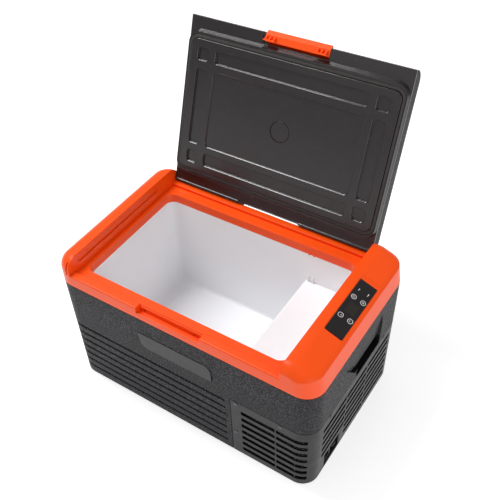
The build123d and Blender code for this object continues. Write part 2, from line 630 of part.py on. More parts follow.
def compressor_bolts():
    parts = []
    for x, y in grommet_places():
        shank = Pos(x, y, FLOOR_Z + 11.5) * Cylinder(2.9, 23)
        head = Pos(x, y, FLOOR_Z + 23) * extrude(RegularPolygon(5.2, 6), amount=4)
        parts.append(shank + head)
    return parts


CONDENSER_BOX = (138.0, 262.0, -158.0, -128.0, 16.0, 148.0)


def condenser():
    """Fin and tube block: headers, fins and six tube passes."""
    x0, x1, y0, y1, z0, z1 = CONDENSER_BOX
    pieces = [block(x, x + 0.8, y0, y1, z0, z1) for x in [x0 + 5.0 * k for k in range(1, 24)]]
    pieces += [block(x0, x0 + 1.5, y0 - 2, y1 + 2, z0, z1), block(x1 - 1.5, x1, y0 - 2, y1 + 2, z0, z1)]
    rows = [z0 + 12 + 21.5 * k for k in range(6)]
    for z in rows:
        pieces.append(rod((x0 - 4, y0 + 9, z), (x1 + 4, y0 + 9, z), 3.2))
        pieces.append(rod((x0 - 4, y1 - 9, z), (x1 + 4, y1 - 9, z), 3.2))
    for x in (x0 - 4, x1 + 4):
        for z in rows:
            pieces.append(rod((x, y0 + 9, z), (x, y1 - 9, z), 3.2))
    return joined(pieces)


def fan_frame():
    """Square axial fan housing with four struts and a motor seat."""
    half = FAN_SIZE / 2
    depth = 25.0
    frame = Pos(FAN_X, FAN_Y, FAN_Z) * Box(FAN_SIZE, depth, FAN_SIZE)
    frame = fillet(frame.edges().filter_by(Axis.Y), 7)
    axis = Rot(X=90)
    frame = frame - Pos(FAN_X, FAN_Y, FAN_Z) * axis * Cylinder(half - 3.0, depth + 2)
    for sx in (-1, 1):
        for sz in (-1, 1):
            hole = Pos(FAN_X + sx * 52.5, FAN_Y, FAN_Z + sz * 52.5) * axis * Cylinder(2.2, depth + 2)
            frame = frame - hole
    struts = Pos(FAN_X, FAN_Y + 11.0, FAN_Z) * axis * Cylinder(21.0, 3.0)
    for angle in (45, 135, 225, 315):
        bar = Rot(Y=angle) * Pos(38.0, 0, 0) * Box(42.0, 3.0, 6.0)
        struts = struts + Pos(FAN_X, FAN_Y + 11.0, FAN_Z) * bar
    shaft = Pos(FAN_X, FAN_Y + 1.0, FAN_Z) * axis * Cylinder(2.0, 20.0)
    return frame + struts + shaft


def fan_rotor():
    axis = Rot(X=90)
    hub = Pos(FAN_X, FAN_Y - 2.5, FAN_Z) * axis * Cylinder(20.0, 19.0)
    hub = fillet(hub.faces().sort_by(Axis.Y)[0].edges(), 2.5)
    rotor = hub
    for k in range(7):
        blade = Pos(36.0, 0, 0) * Rot(X=38) * Box(35.0, 1.6, 24.0)
        rotor = rotor + Pos(FAN_X, FAN_Y - 2.5, FAN_Z) * Rot(Y=k * 360 / 7) * blade
    keep = Pos(FAN_X, FAN_Y - 2.5, FAN_Z) * axis * Cylinder(53.5, 19.0)
    rotor = rotor & keep
    bore = Pos(FAN_X, FAN_Y + 1.0, FAN_Z) * axis * Cylinder(2.06, 60.0)
    return rotor - bore


def fan_screws():
    parts = []
    for sx in (-1, 1):
        for sz in (-1, 1):
            x, z = FAN_X + sx * 52.5, FAN_Z + sz * 52.5
            shank = rod((x, FAN_Y - 13.5, z), (x, FAN_Y + 12.5, z), 2.1)
            head = rod((x, FAN_Y + 12.5, z), (x, FAN_Y + 14.7, z), 4.0)
            parts.append(shank + head)
    return parts


def fan_bracket():
    """Shroud feet that hold the condenser and fan on the base pan."""
    x0, x1, y0, y1 = CONDENSER_BOX[:4]
    plate = block(x0, x1, y0, FAN_Y + 12.5, FLOOR_Z, FLOOR_Z + 1.5)
    riser = block(x0 + 4, x1 - 4, y0 + 2, y1 - 2, FLOOR_Z + 1.5, CONDENSER_BOX[4])
    riser = riser - block(x0 + 6, x1 - 6, y0, y1, FLOOR_Z + 1.5, CONDENSER_BOX[4] - 1.5)
    rest = block(FAN_X - 56, FAN_X + 56, FAN_Y - 8, FAN_Y + 8, FLOOR_Z + 1.5, FAN_Z - FAN_SIZE / 2)
    return plate + riser + rest


DRIER_X, DRIER_Y = 137.0, -70.0
DRIER_Z0, DRIER_Z1 = 52.0, 118.0
COMP_PORT_Z = FLOOR_Z + 92.0


def filter_drier():
    body = Pos(DRIER_X, DRIER_Y, (DRIER_Z0 + DRIER_Z1) / 2) * Cylinder(8.0, DRIER_Z1 - DRIER_Z0)
    top = Pos(DRIER_X, DRIER_Y, DRIER_Z1 + 6) * Cone(8.0, 2.6, 12)
    low = Pos(DRIER_X, DRIER_Y, DRIER_Z0 - 6) * Cone(2.6, 8.0, 12)
    return body + top + low


def condenser_outlet_tube():
    """Bottom row of the condenser to the drier."""
    x0, y1, z0 = CONDENSER_BOX[0], CONDENSER_BOX[3], CONDENSER_BOX[4]
    x, z = x0 - 4, z0 + 12
    route = [(x, y1 - 5.7, z), (x, -90, z), (DRIER_X, DRIER_Y, z - 2), (DRIER_X, DRIER_Y, DRIER_Z0 - 12.1)]
    return tube_path(route, 4.0, 2.4)


def liquid_tube(grow=0.0):
    """Fine tube from the drier to the top of the evaporator coil."""
    z = COIL_LEVELS[-1]
    front = coil_lines(z)[1]
    route = [(DRIER_X, DRIER_Y, DRIER_Z1 + 12.1), (DRIER_X, DRIER_Y, z), (122.0, DRIER_Y - 12, z),
             (122.0, front, z), (COIL_END_X + 0.1, front, z)]
    return tube_path(route, 6.0, 1.4 + grow)


def suction_tube(grow=0.0):
    """Bottom of the evaporator coil back to the compressor inlet."""
    z = COIL_LEVELS[0]
    front = coil_lines(z)[1]
    x = COMP_X - 20
    route = [(COIL_END_X + 0.1, front, z), (122.0, front, z), (122.0, -48, z), (122.0, -48, COMP_PORT_Z),
             (x, -48, COMP_PORT_Z), (x, COMP_Y - 66.1, COMP_PORT_Z)]
    return tube_path(route, 9.0, 3.0 + grow)


def discharge_tube():
    """Compressor outlet to the top row of the condenser."""
    x1, y1, z0 = CONDENSER_BOX[1], CONDENSER_BOX[3], CONDENSER_BOX[4]
    x, z = x1 + 4, z0 + 12 + 21.5 * 5
    start_x = COMP_X + 22
    route = [(start_x, COMP_Y - 66.1, COMP_PORT_Z), (start_x, -30, COMP_PORT_Z), (x, -30, COMP_PORT_Z),
             (x, -30, z), (x, y1 - 5.7, z)]
    return tube_path(route, 8.0, 2.4)


def bay_partition():
    """Folded sheet that closes the machine bay off from the foam."""
    sheet = 1.2
    x0 = BAY_X - 1.6
    wall = block(x0, x0 + sheet, -168, 168, FLOOR_Z, BAY_TOP)
    roof = cabinet_form(COVER_WALL + 4, BAY_TOP, BAY_TOP + sheet) & block(x0, WIDTH, -168, 168, 0, HEIGHT)
    return wall + roof - suction_tube(grow=0.8) - liquid_tube(grow=0.8)


def drive_board():
    """Compressor drive electronics standing against the bay wall."""
    x = BAY_X + 8
    board = block(x, x + 1.6, 70, 160, 30, 110)
    parts = [board]
    blocks = [(78, 38, 18, 18, 9), (104, 40, 12, 24, 12), (124, 36, 26, 20, 6), (84, 74, 30, 22, 5),
              (124, 70, 12, 12, 14), (142, 72, 12, 12, 14), (84, 100, 60, 6, 8)]
    for y0, z0, dy, dz, height in blocks:
        parts.append(block(x + 1.6, x + 1.6 + height, y0, y0 + dy, z0, z0 + dz))
    for y, z in ((74, 34), (156, 34), (74, 106), (156, 106)):
        parts.append(rod((BAY_X - 0.4, y, z), (x, y, z), 3.0))
    return joined(parts)


# ---------------------------------------------------------------- power inlet
def dc_inlet_socket():
    """Two-pin low-voltage inlet body in the cover pocket."""
    x1 = WIDTH / 2 - 7.0
    body = block(x1 - 16, x1, -119, -92, 12, 40)
    body = fillet(body.edges().filter_by(Axis.X), 4)
    well = block(x1 - 11, x1 + 1, -115.5, -95.5, 17, 35)
    well = fillet(well.edges().filter_by(Axis.X), 3)
    return body - well


def dc_inlet_pins():
    x1 = WIDTH / 2 - 7.0
    return [rod((x1 - 11, y, 26), (x1 - 2.5, y, 26), 1.6) for y in (-109.5, -101.5)]


def fuse_carrier():
    """Round fuse cap with a grip bar, beside the inlet."""
    x1 = WIDTH / 2 - 7.0
    cap = rod((x1 - 16, -77, 26), (x1 - 4, -77, 26), 9.5)
    knob = rod((x1 - 4, -77, 26), (x1 - 1, -77, 26), 7.5)
    bar = block(x1 - 1, x1 + 1.5, -83, -71, 24.6, 27.4)
    return cap + knob + bar


def socket_housing():
    """Open box set into the cover: four walls and a rear plate that carries inlet and fuse."""
    shell = socket_pocket(grow=2.4) & cabinet_form(0.4, FOOT_H, COVER_TOP)
    rear = WIDTH / 2 - 15.1
    shell = shell - block(rear, WIDTH, -122, -62, 9, 46)
    shell = shell - block(rear - 5, rear + 1, -119.1, -91.9, 11.9, 40.1)
    return shell - rod((rear - 5, -77, 26), (rear + 1, -77, 26), 9.6)


# ---------------------------------------------------------------- controls
def control_panel():
    plate = extrude(panel_plane(0.2) * Rectangle(PANEL_L, PANEL_W), amount=-2.4)
    for u, v in key_places().values():
        plate = plate - extrude(panel_plane(2) * Pos(u, v, 0) * Circle(KEY_D / 2 + 0.3), amount=-8)
    return plate - extrude(panel_plane(0.2) * Pos(0.7, 0, 0) * Rectangle(20, 26), amount=-1.0)


def display_window():
    return extrude(panel_plane(0.2) * Pos(0.7, 0, 0) * Rectangle(19.8, 25.8), amount=-1.0)


def panel_key(name):
    u, v = key_places()[name]
    cap = extrude(panel_plane(0.2) * Pos(u, v, 0) * Circle(KEY_D / 2), amount=-2.9)
    flange = extrude(panel_plane(-2.6) * Pos(u, v, 0) * Rectangle(11.5, 15.5), amount=-0.9)
    stem = extrude(panel_plane(-3.4) * Pos(u, v, 0) * Circle(2.2), amount=-3.2)
    return cap + flange + stem


def key_domes():
    """Snap domes on the display board, one under each key."""
    domes = []
    for u, v in key_places().values():
        disc = extrude(panel_plane(-8.0) * Pos(u, v, 0) * Circle(3.4), amount=0.5)
        domes.append(disc)
    return domes


def display_board():
    board = extrude(panel_plane(-8.0) * Rectangle(30, 118), amount=-1.6)
    module = extrude(panel_plane(-8.0) * Pos(0.7, 0, 0) * Rectangle(18, 24), amount=5.6)
    for v in (-52.0, 52.0):
        post = extrude(panel_plane(-8.0) * Pos(0, v, 0) * Circle(2.5), amount=5.8)
        board = board + post
    return board + module


# ---------------------------------------------------------------- lid, drawn closed
FACE_X0, FACE_X1 = LID_MID - 224.0, LID_MID + 224.0
FACE_Y0, FACE_Y1 = -142.2, 132.0
FACE_Z = RIM_Z - 9.5
GASKET_W = 7.0
PANEL_T = 2.5
POCKET_DEPTH, CENTRE_DEPTH, POCKET_BEVEL = 5.0, 3.4, 1.1
SHELL_FROM_Z = RIM_Z + PANEL_T + 0.05    # the grained moulding starts above the lining's rim
LIP_Y0, LIP_Y1, LIP_RUN = -160.0, 150.0, 5.0   # foot of the lining's raised lip and its slanted run


def rear_bevel_cut(lift, x0, x1):
    """Region below a line parallel to the stop bevel, in the open pose."""
    near, far = LEDGE_BACK - 30, DEPTH / 2 + 60
    line = [(near, bevel_height(near, lift)), (far, bevel_height(far, lift)), (far, 150), (near, 150)]
    return profile_yz(line, x0, x1)


def trimmed_open(part):
    """Open the lid part and trim its rear edge to clear the collar's stop bevel."""
    stop = rear_bevel_cut(STOP_GAP * hypot(1, BEVEL_SLOPE), LID_X0 - 20, LID_X1 + 20)
    return open_lid(part) - stop - rear_bevel_cut(NOTCH_LIFT, NOTCH_X0, NOTCH_X1)


def lid_block(inset_side, z0):
    """Closed-lid block cut out of the common top form."""
    bounds = block(LID_X0 + inset_side, LID_X1 - inset_side, -DEPTH, HINGE_Y + 12, z0, HEIGHT + 1)
    return FORM & bounds


def latch_opening():
    """Cut-out through rim and front rounding that the latch moves in."""
    cut = rod((LATCH_X0, LATCH_Y, LATCH_Z), (LATCH_X1, LATCH_Y, LATCH_Z), LATCH_BARREL_R + 0.5)
    front = block(LATCH_X0, LATCH_X1, -DEPTH, -161.0, RIM_Z - 20, LATCH_Z - 1)
    front_y, top_z = -DEPTH / 2 - 5, HEIGHT + 2
    upper = [(LATCH_Y, LATCH_Z - 7.5), (LATCH_Y, top_z), (front_y, top_z), (front_y, 310), (-161.0, 310)]
    return cut + front + profile_yz(upper, LATCH_X0, LATCH_X1)


LID_WALL = 3.0


def lid_cavity(shrink, z0):
    """Hollow of the lid moulding, open downwards."""
    wall = LID_WALL + shrink
    x0, x1 = LID_X0 + wall, LID_X1 - wall
    front = -DEPTH / 2 + 3.2 + shrink
    deep = prism(x0, x1, -DEPTH / 2 + 25 + shrink, 156.0 - shrink, 10, z0, HEIGHT - wall)
    return deep + prism(x0, x1, front, -120, 3, z0, 323.0 - shrink)


def hinge_barrels(radius, margin=0.0):
    """Hinge barrels with the web that ties them to the lid's rear edge."""
    parts = []
    for x0, x1 in ((LID_X0, NOTCH_X0 - 9), (NOTCH_X1, LID_X1)):
        parts.append(rod((x0, HINGE_Y, HINGE_Z), (x1, HINGE_Y, HINGE_Z), radius))
        parts.append(block(x0 - margin, x1 + margin, 157.0, HINGE_Y, RIM_Z, HINGE_Z + 4 + margin))
    return parts


def lid_outer_shell():
    """Grained top moulding with side skirts and the latch housing."""
    wall = LID_WALL
    shell = lid_block(0, SHELL_FROM_Z) - lid_cavity(0, RIM_Z - 1)
    housing = block(LATCH_X0 - wall, LATCH_X1 + wall, -DEPTH / 2 + 3, -143.0, SHELL_FROM_Z, HEIGHT - 1)
    shell = shell + (housing & FORM)
    shell = shell - latch_opening()
    pin_span = ((LATCH_X0 - 8, LATCH_Y, LATCH_Z), (LATCH_X1 + 8, LATCH_Y, LATCH_Z))
    for x0, x1 in ((LATCH_X0 - 9, LATCH_X0 - 0.01), (LATCH_X1 + 0.01, LATCH_X1 + 9)):
        shell = shell + (rod((x0, LATCH_Y, LATCH_Z), (x1, LATCH_Y, LATCH_Z), 4.5) & FORM)
    shell = shell - rod(*pin_span, LATCH_PIN_R)
    for barrel in hinge_barrels(BARREL_R + 0.1, margin=0.1):
        shell = shell - barrel
    return trimmed_open(shell)


def panel_pockets():
    """Pocket outlines of the inner panel as (x0, x1, y0, y1, corner radius)."""
    mid_x, mid_y = LID_MID, (FACE_Y0 + FACE_Y1) / 2
    in_x, out_x0, out_x1 = 165.5, 181.0, 207.5
    in_y, out_y0, out_y1 = 79.0, 95.5, 121.5
    pockets = [(mid_x - in_x, mid_x + in_x, mid_y - in_y, mid_y + in_y, 9)]
    for sign in (-1, 1):
        x0, x1 = sorted((mid_x + sign * out_x0, mid_x + sign * out_x1))
        y0, y1 = sorted((mid_y + sign * out_y0, mid_y + sign * out_y1))
        pockets.append((x0, x1, mid_y - in_y, mid_y + in_y, 6))
        pockets.append((mid_x - in_x, mid_x + in_x, y0, y1, 6))
        for other in (-1, 1):
            py0, py1 = sorted((mid_y + other * out_y0, mid_y + other * out_y1))
            pockets.append((x0, x1, py0, py1, 6))
    return pockets


def pocket_cutter(px0, px1, py0, py1, radius, depth):
    """Pocket pressed into the panel face, with a bevelled mouth and a rounded floor edge."""
    floor = prism(px0, px1, py0, py1, radius, FACE_Z - 1, FACE_Z + depth)
    floor = fillet(floor.faces().sort_by(Axis.Z)[-1].edges(), 1.2)
    reach = POCKET_BEVEL
    mouth = prism(px0 - reach, px1 + reach, py0 - reach, py1 + reach, radius + reach, FACE_Z - 0.01,
                  FACE_Z + reach, taper=44)
    return floor + mouth


def raised_lip():
    """Lip round the gasket groove, with slanted flanks."""
    x0, x1 = LID_X0 + 0.4, LID_X1 - 0.4
    foot = Pos(LID_MID, (LIP_Y0 + LIP_Y1) / 2, RIM_Z + 0.5) * RectangleRounded(x1 - x0, LIP_Y1 - LIP_Y0, 27)
    crest_w, crest_l = x1 - x0 - 5.0, LIP_Y1 - LIP_Y0 - 2 * LIP_RUN
    crest = Pos(LID_MID, (LIP_Y0 + LIP_Y1) / 2, FACE_Z + 1.5) * RectangleRounded(crest_w, crest_l, 24)
    return loft([crest, foot], ruled=True)


def lid_inner_panel():
    """Inner lining: flat rim with hinge barrels, raised lip, gasket groove and the pocketed centre."""
    rim = lid_block(0, RIM_Z) & block(LID_X0, LID_X1, -DEPTH, DEPTH, RIM_Z, RIM_Z + PANEL_T)
    rim = joined([rim] + hinge_barrels(BARREL_R))
    groove = prism(FACE_X0 - GASKET_W - 0.6, FACE_X1 + GASKET_W + 0.6, FACE_Y0 - GASKET_W - 0.6,
                   FACE_Y1 + GASKET_W + 0.6, 21, 280, RIM_Z - 3.5)
    core = prism(FACE_X0, FACE_X1, FACE_Y0, FACE_Y1, 14, FACE_Z, RIM_Z)
    core = fillet(core.faces().sort_by(Axis.Z)[0].edges(), 1.5)
    panel = rim + raised_lip() - groove + core
    for k, (px0, px1, py0, py1, radius) in enumerate(panel_pockets()):
        panel = panel - pocket_cutter(px0, px1, py0, py1, radius, CENTRE_DEPTH if k == 0 else POCKET_DEPTH)
    panel = panel - prism(FACE_X0 + 4, FACE_X1 - 4, FACE_Y0 + 4, FACE_Y1 - 4, 10,
                          FACE_Z + POCKET_DEPTH + 2, RIM_Z + 6)
    panel = panel - Pos(LID_MID, (FACE_Y0 + FACE_Y1) / 2, FACE_Z + 5) * Cylinder(21.6, 10)
    for x in (-80.0, 31.0):
        panel = panel - block(x, x + 17, LIP_Y0 + 2.2, LIP_Y0 + LIP_RUN + 1.0, FACE_Z, FACE_Z + 5)
    panel = panel - block(LATCH_X0 - 0.1, LATCH_X1 + 0.1, -DEPTH, -161.5, RIM_Z - 20, HEIGHT)
    for x0, x1 in ((LID_X0 - 1, LID_X0 + 16), (LID_X1 - 16, LID_X1 + 1)):
        panel = panel - rod((x0, HINGE_Y, HINGE_Z), (x1, HINGE_Y, HINGE_Z), HINGE_PIN_R + 0.06)
    return trimmed_open(panel)


def lid_fill_plug():
    """Disc that closes the foam filling hole in the panel."""
    low = FACE_Z + CENTRE_DEPTH
    disc = Pos(LID_MID, (FACE_Y0 + FACE_Y1) / 2, low + 1.6) * Cylinder(20.4, 2.4)
    hub = Pos(LID_MID, (FACE_Y0 + FACE_Y1) / 2, low + 3.4) * Cylinder(21.5, 1.4)
    return open_lid(fillet(disc.edges().group_by(Axis.Z)[0], 0.6) + hub)


def lid_gasket():
    """Soft seal lying in the groove around the panel, cut and butted once at the rear."""
    outer = prism(FACE_X0 - GASKET_W, FACE_X1 + GASKET_W, FACE_Y0 - GASKET_W, FACE_Y1 + GASKET_W, 20.5,
                  FACE_Z + 1.7, RIM_Z - 3.6)
    inner = prism(FACE_X0 - 0.7, FACE_X1 + 0.7, FACE_Y0 - 0.7, FACE_Y1 + 0.7, 14.7, FACE_Z, RIM_Z)
    seal = outer - inner
    seal = fillet(seal.edges().group_by(Axis.Z)[0], 1.2)
    return open_lid(seal - block(-17.6, -16.4, 120, 160, FACE_Z, FACE_Z + 3.6))


def lid_foam():
    foam = lid_cavity(0.3, RIM_Z + PANEL_T + 0.1) & block(LID_X0, LID_X1, -153.0, 155.0, 0, HEIGHT)
    foam = foam - block(LATCH_X0 - 12, LATCH_X1 + 12, -DEPTH, -142.8, 290, HEIGHT)
    return open_lid(foam)


def latch_handle():
    """Curved paddle with a slanted finger face, a flat underside and a ribbed tongue at each end."""
    x0, x1 = LATCH_X0 + LATCH_INSET, LATCH_X1 - SIDE_GAP
    cy, cz, radius = -DEPTH / 2 + TOP_R, HEIGHT - TOP_R, TOP_R
    arc = [(cy + radius * cos(radians(a)), cz + radius * sin(radians(a))) for a in range(90, 163, 6)]
    inner = [(cy + (radius - 3.6) * cos(radians(a)), cz + (radius - 3.6) * sin(radians(a)))
             for a in range(162, 89, -6)]
    skin = profile_yz(arc + inner, x0, x1)
    barrel = rod((x0, LATCH_Y, LATCH_Z), (x1, LATCH_Y, LATCH_Z), LATCH_BARREL_R)
    finger = [(-181.6, 319.8), (-186.2, 318.6), (-187.0, 317.2), (-180.4, 309.4), (-167.0, 309.4),
              (-167.0, 312.0), (-178.6, 312.0), (-182.0, 316.0), (-178.0, 319.2)]
    parts = [skin, barrel, profile_yz(finger, x0, x1)]
    web = [(-167.0, 311.0), (LATCH_Y - 3.0, LATCH_Z - 5.0), (LATCH_Y - 7.0, LATCH_Z), (-180.0, 319.5),
           (-180.0, 311.0)]
    for x in (x0, (x0 + x1) / 2 - 1.2, x1 - 2.4):
        parts.append(profile_yz(web, x, x + 2.4))
    for lug_x in (x0 + 0.4, x1 - 2.4 - TONGUE_W):
        parts.append(block(lug_x, lug_x + TONGUE_W, TONGUE_Y0, TONGUE_Y1, TONGUE_Z, 310.0))
        for k in range(3):
            rib_x = lug_x + 2.0 + k * (TONGUE_W - 6.4) / 2
            rib = [(TONGUE_Y0 + 0.1, TONGUE_Z + 1.5), (TONGUE_Y0 + 0.1, 310.0), (-180.2, 310.0)]
            parts.append(profile_yz(rib, rib_x, rib_x + 2.4))
    handle = joined(parts)
    handle = handle - rod((x0 - 1, LATCH_Y, LATCH_Z), (x1 + 1, LATCH_Y, LATCH_Z), LATCH_PIN_R + 0.08)
    mid = (LATCH_X0 + LATCH_X1) / 2
    handle = handle - rod((mid + 8, LATCH_Y, LATCH_Z), (mid + 22, LATCH_Y, LATCH_Z), 4.4)
    return open_lid(handle)


def latch_pin():
    pin = rod((LATCH_X0 - 7.5, LATCH_Y, LATCH_Z), (LATCH_X1 + 7.5, LATCH_Y, LATCH_Z), LATCH_PIN_R)
    return open_lid(pin)


def latch_spring():
    """Return spring: close-wound coil round the pin inside the barrel."""
    mid = (LATCH_X0 + LATCH_X1) / 2
    rings = []
    for k in range(9):
        ring = Pos(mid + 10.6 + 1.05 * k, LATCH_Y, LATCH_Z) * Rot(Y=90) * Torus(2.9, 0.55)
        rings.append(ring)
    return open_lid(joined(rings))


def hinge_pins():
    pins = []
    for x0, x1 in ((RAIL_X - 12, LID_X0 + 15), (LID_X1 - 15, CONSOLE_X + 12)):
        pins.append(rod((x0, HINGE_Y, HINGE_Z), (x1, HINGE_Y, HINGE_Z), HINGE_PIN_R))
    return pins


# ---------------------------------------------------------------- export
NODES = {
    "outer_shell": outer_shell,
    "machine_bay_cover": machine_bay_cover,
    "cover_screws": cover_screws,
    "base_pan": base_pan,
    "rubber_feet": rubber_feet,
    "badge_plate": badge_plate,
    "handle_cup_right": lambda: handle_cup(1),
    "handle_cup_left": lambda: handle_cup(-1),
    "top_collar": top_collar,
    "inner_liner": inner_liner,
    "foam_insulation": foam_insulation,
    "evaporator_coil": evaporator_coil,
    "thermostat_probe": thermostat_probe,
    "bay_partition": bay_partition,
    "compressor": compressor,
    "compressor_grommets": compressor_grommets,
    "compressor_bolts": compressor_bolts,
    "condenser": condenser,
    "condenser_bracket": fan_bracket,
    "fan_frame": fan_frame,
    "fan_screws": fan_screws,
    "fan_rotor": fan_rotor,
    "filter_drier": filter_drier,
    "condenser_outlet_tube": condenser_outlet_tube,
    "liquid_tube": liquid_tube,
    "suction_tube": suction_tube,
    "discharge_tube": discharge_tube,
    "drive_board": drive_board,
    "dc_inlet_socket": dc_inlet_socket,
    "dc_inlet_pins": dc_inlet_pins,
    "fuse_carrier": fuse_carrier,
    "socket_housing": socket_housing,
    "control_panel": control_panel,
    "display_window": display_window,
    "display_board": display_board,
    "key_domes": key_domes,
    "key_power": lambda: panel_key("power"),
    "key_mode": lambda: panel_key("mode"),
    "key_up": lambda: panel_key("up"),
    "key_down": lambda: panel_key("down"),
    "hinge_pins": hinge_pins,
    "lid_outer_shell": lid_outer_shell,
    "lid_inner_panel": lid_inner_panel,
    "lid_fill_plug": lid_fill_plug,
    "lid_gasket": lid_gasket,
    "lid_foam": lid_foam,
    "latch_handle": latch_handle,
    "latch_pin": latch_pin,
    "latch_spring": latch_spring,
}

for name, build in NODES.items():
    result = build()
    shape = Compound(children=result) if isinstance(result, list) else result
    export_step(shape, f"parts/{name}.step")
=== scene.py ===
"""Look of the compressor cooler: materials, trim detail, camera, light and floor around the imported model."""

import json
import math

import bmesh
import bpy
from mathutils import Matrix, Vector


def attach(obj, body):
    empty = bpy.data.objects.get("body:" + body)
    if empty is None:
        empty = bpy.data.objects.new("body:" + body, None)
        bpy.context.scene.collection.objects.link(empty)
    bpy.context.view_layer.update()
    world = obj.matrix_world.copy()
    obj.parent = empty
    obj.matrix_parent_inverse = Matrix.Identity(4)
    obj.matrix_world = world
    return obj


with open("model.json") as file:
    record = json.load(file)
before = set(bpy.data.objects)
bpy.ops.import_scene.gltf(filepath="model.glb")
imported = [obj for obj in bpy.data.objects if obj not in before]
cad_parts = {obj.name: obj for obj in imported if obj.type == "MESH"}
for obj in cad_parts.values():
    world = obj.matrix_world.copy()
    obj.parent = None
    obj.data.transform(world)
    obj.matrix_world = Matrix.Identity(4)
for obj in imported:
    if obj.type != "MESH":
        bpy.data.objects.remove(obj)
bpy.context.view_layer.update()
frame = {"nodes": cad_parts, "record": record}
NODES = frame["nodes"]


# ---------------------------------------------------------------- node helpers
class Graph:
    """Small wrapper that adds and links shader nodes."""

    def __init__(self, name):
        self.material = bpy.data.materials.new(name)
        self.material.use_nodes = True
        self.tree = self.material.node_tree
        self.shader = self.tree.nodes["Principled BSDF"]
        self.place = self.add("ShaderNodeTexCoord").outputs["Object"]

    def add(self, kind, **values):
        node = self.tree.nodes.new(kind)
        for key, value in values.items():
            setattr(node, key, value)
        return node

    def link(self, source, target):
        self.tree.links.new(source, target)

    def noise(self, scale, detail=3.0, roughness=0.5, stretch=None):
        node = self.add("ShaderNodeTexNoise")
        node.inputs["Scale"].default_value = scale
        node.inputs["Detail"].default_value = detail
        node.inputs["Roughness"].default_value = roughness
        self.link(self.stretched(stretch), node.inputs["Vector"])
        return node.outputs["Fac"]

    def cells(self, scale, feature="F1"):
        node = self.add("ShaderNodeTexVoronoi", feature=feature)
        node.inputs["Scale"].default_value = scale
        self.link(self.place, node.inputs["Vector"])
        return node.outputs["Distance"]

    def stretched(self, stretch):
        """Object coordinates, scaled per axis when stretch is given."""
        if stretch is None:
            return self.place
        node = self.add("ShaderNodeMapping")
        node.inputs["Scale"].default_value = stretch
        self.link(self.place, node.inputs["Vector"])
        return node.outputs["Vector"]

    def ramp(self, source, low, high, out_low=0.0, out_high=1.0):
        """Map low..high onto out_low..out_high, clamped."""
        node = self.add("ShaderNodeMapRange")
        for key, value in (("From Min", low), ("From Max", high), ("To Min", out_low), ("To Max", out_high)):
            node.inputs[key].default_value = value
        self.link(source, node.inputs["Value"])
        return node.outputs["Result"]

    def mix(self, factor, first, second):
        """Colour mix; first and second are colours or sockets."""
        node = self.add("ShaderNodeMix", data_type="RGBA")
        self.feed(factor, node.inputs[0])
        self.feed(first, node.inputs[6])
        self.feed(second, node.inputs[7])
        return node.outputs[2]

    def feed(self, value, socket):
        """Link a socket, or set a colour or a number on the input."""
        if isinstance(value, bpy.types.NodeSocket):
            self.link(value, socket)
        elif isinstance(value, tuple):
            socket.default_value = (*value[:3], 1.0)
        else:
            socket.default_value = value

    def maths(self, kind, first, second):
        node = self.add("ShaderNodeMath", operation=kind)
        self.feed(first, node.inputs[0])
        self.feed(second, node.inputs[1])
        return node.outputs[0]

    def edge_mask(self, radius):
        """1 on convex and concave edges, 0 on flats, from the turn of the rounded normal."""
        bevel = self.add("ShaderNodeBevel", samples=4)
        bevel.inputs["Radius"].default_value = radius
        geometry = self.add("ShaderNodeNewGeometry")
        dot = self.add("ShaderNodeVectorMath", operation="DOT_PRODUCT")
        self.link(bevel.outputs["Normal"], dot.inputs[0])
        self.link(geometry.outputs["Normal"], dot.inputs[1])
        return self.ramp(dot.outputs["Value"], 0.995, 0.80)

    def soft_normal(self, radius):
        """Normal with the edges rounded to the radius."""
        bevel = self.add("ShaderNodeBevel", samples=6)
        bevel.inputs["Radius"].default_value = radius
        return bevel.outputs["Normal"]

    def bump(self, height, depth, normal=None):
        node = self.add("ShaderNodeBump")
        node.inputs["Strength"].default_value = 1.0
        node.inputs["Distance"].default_value = depth
        self.link(height, node.inputs["Height"])
        if normal is not None:
            self.link(normal, node.inputs["Normal"])
        return node.outputs["Normal"]


def shaded(colour, factor):
    """Colour scaled by a factor, clipped at 1."""
    return tuple(min(1.0, c * factor) for c in colour)


def plastic(name, colour, rough=0.4, gloss_swing=0.06, grain_scale=900.0, grain_depth=0.00003, mottle=0.06,
            round_edge=0.0008, edge_highlight=1.15, specular=0.5, coat=0.0, coat_rough=0.1):
    """Moulded plastic: soft colour drift, gloss drift, fine grain, and rounded edges lightened as a painted
    highlight.
    """
    g = Graph(name)
    drift = g.noise(9.0, 4.0, 0.6)
    base = g.mix(g.ramp(drift, 0.35, 0.65), shaded(colour, 1 - mottle), shaded(colour, 1 + mottle))
    # painted highlight: convex and concave edges lightened towards a brighter copy of the colour
    base = g.mix(g.maths("MULTIPLY", g.edge_mask(round_edge), 0.5), base, shaded(colour, edge_highlight))
    g.link(base, g.shader.inputs["Base Color"])
    haze = g.noise(55.0, 5.0, 0.65)
    g.link(g.ramp(haze, 0.3, 0.7, rough - gloss_swing, rough + gloss_swing), g.shader.inputs["Roughness"])
    grain = g.noise(grain_scale, 2.0, 0.6)
    g.link(g.bump(grain, grain_depth, g.soft_normal(round_edge)), g.shader.inputs["Normal"])
    g.shader.inputs["Specular IOR Level"].default_value = specular
    g.shader.inputs["Coat Weight"].default_value = coat
    g.shader.inputs["Coat Roughness"].default_value = coat_rough
    return g.material


